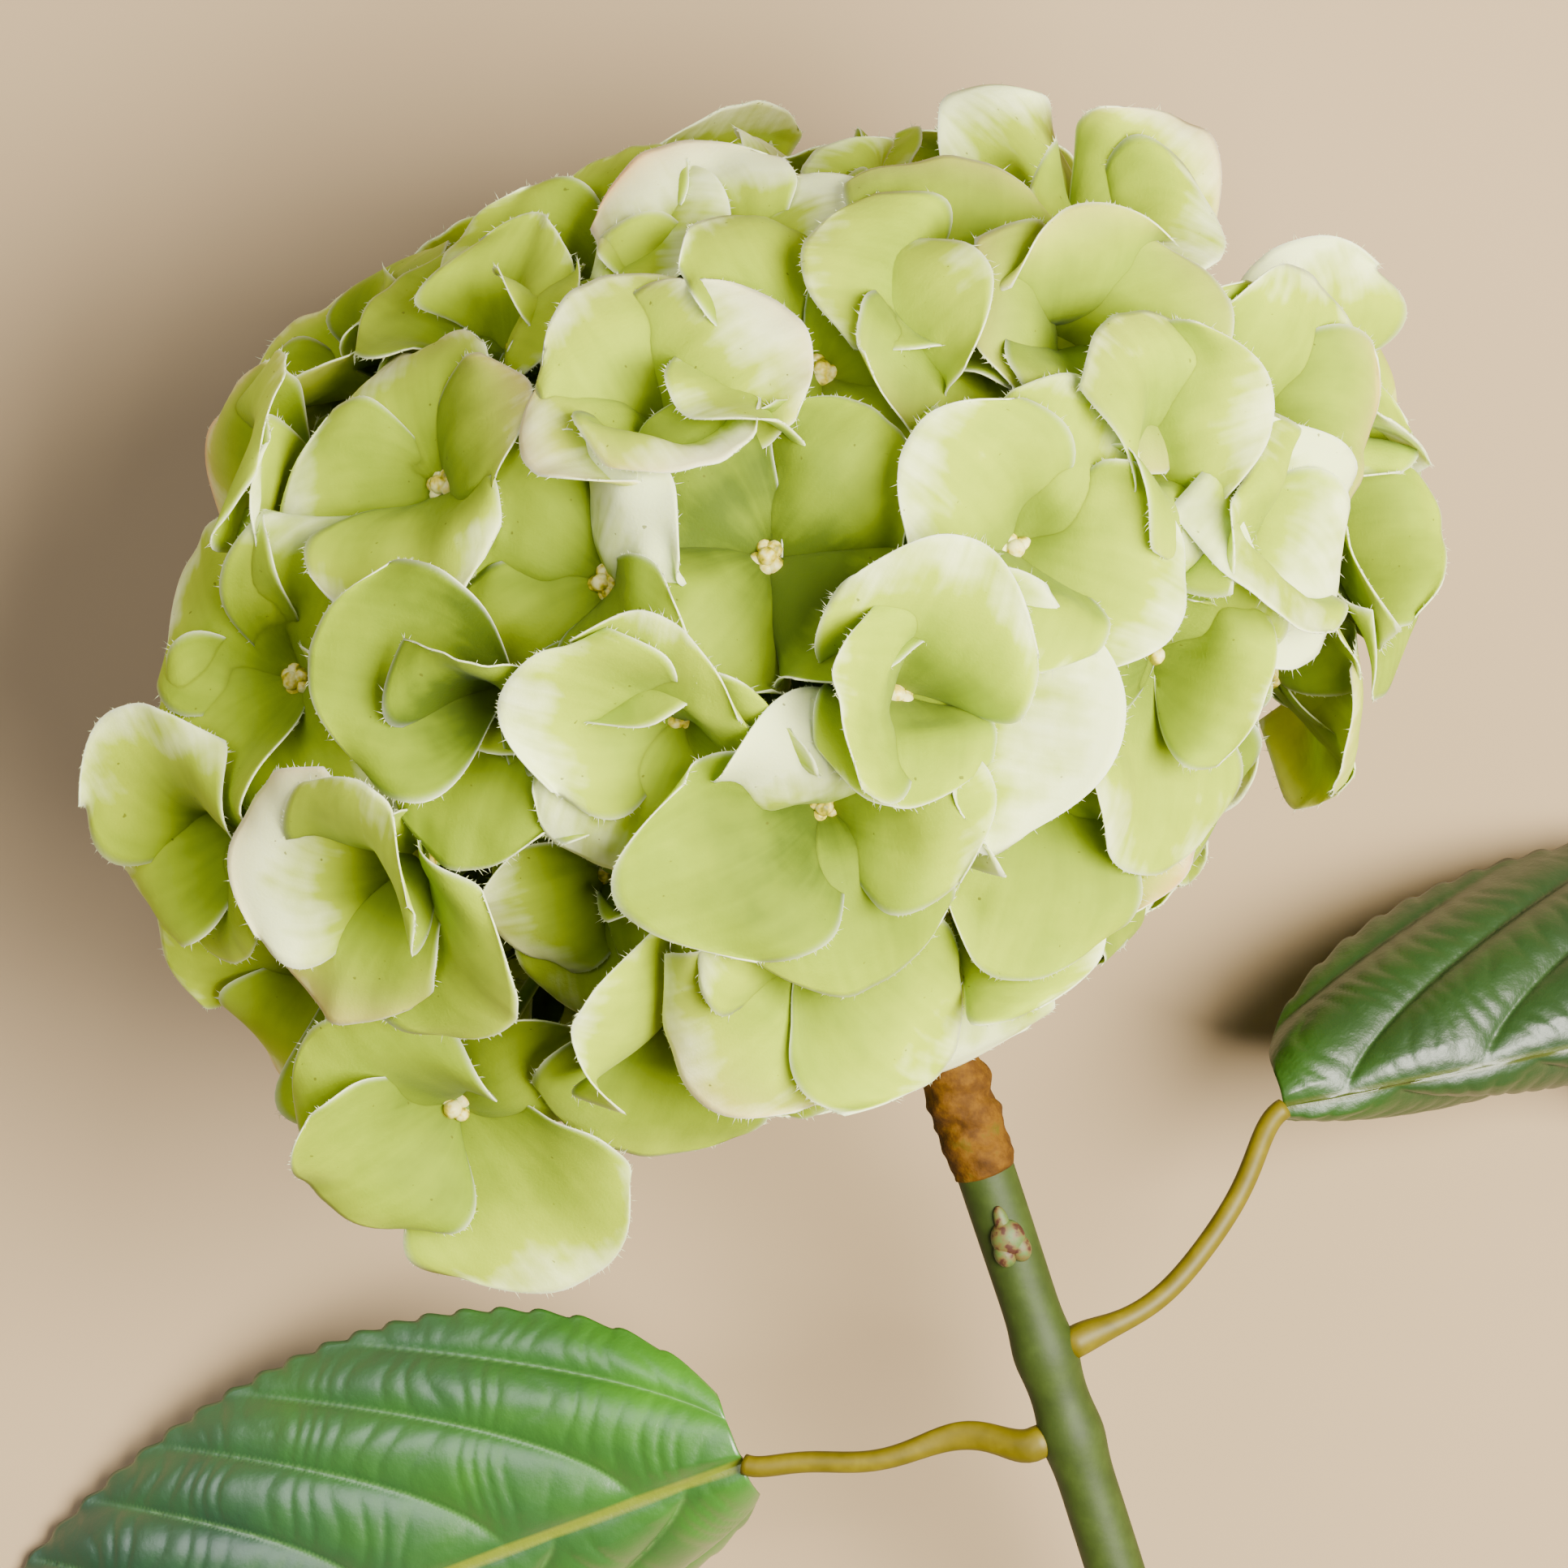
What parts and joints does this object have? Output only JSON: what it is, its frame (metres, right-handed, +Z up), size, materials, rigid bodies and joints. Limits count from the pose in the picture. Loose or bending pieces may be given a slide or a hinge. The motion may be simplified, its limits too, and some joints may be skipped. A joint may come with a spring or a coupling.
{
  "type": "hydrangea stem",
  "caption": "Cut artificial hydrangea stem lying on its side: a domed mophead of fabric florets on an olive cane, with serrated leaves on bent stalks.",
  "frame": {"origin": "middle of the footprint, on the surface the stem lies on", "axes": "+Y towards the crown of the head along the longest side, +X to the right seen from above, +Z up"},
  "size_m": [0.3126, 0.359, 0.1558],
  "materials": {
    "petal": "matte woven petals, pale green with cream edges",
    "hub": "satin moulded green",
    "cane": "satin moulded olive green",
    "collar": "waxed orange-brown tape",
    "bud": "satin moulded pale green",
    "stalk": "satin moulded yellow",
    "leaf": "glossy coated, quilted"
  },
  "bodies": {
    "root": {"cane": "cane", "flower_hub": "hub", "tape_collar": "collar", "bud": "bud", "leaf_stalk_right": "stalk", "leaf_right": "leaf", "leaf_stalk_left": "stalk", "leaf_left": "leaf", "floret_01": "petal", "floret_02": "petal", "floret_03": "petal", "floret_04": "petal", "floret_05": "petal", "floret_06": "petal", "floret_07": "petal", "floret_08": "petal", "floret_09": "petal", "floret_10": "petal", "floret_11": "petal", "floret_12": "petal", "floret_13": "petal", "floret_14": "petal", "floret_15": "petal", "floret_16": "petal", "floret_17": "petal", "floret_18": "petal", "floret_19": "petal", "floret_20": "petal", "floret_21": "petal", "floret_22": "petal", "floret_23": "petal", "floret_24": "petal", "floret_25": "petal", "floret_26": "petal", "floret_27": "petal", "floret_28": "petal", "floret_29": "petal", "floret_30": "petal", "floret_31": "petal", "floret_32": "petal", "floret_33": "petal", "floret_34": "petal", "floret_35": "petal", "floret_36": "petal", "floret_37": "petal", "floret_38": "petal", "floret_39": "petal", "floret_40": "petal", "floret_41": "petal", "floret_42": "petal", "floret_43": "petal", "floret_44": "petal", "floret_45": "petal", "floret_46": "petal", "floret_47": "petal", "floret_48": "petal", "floret_49": "petal", "floret_50": "petal", "floret_51": "petal", "floret_52": "petal"}
  },
  "joints": []
}
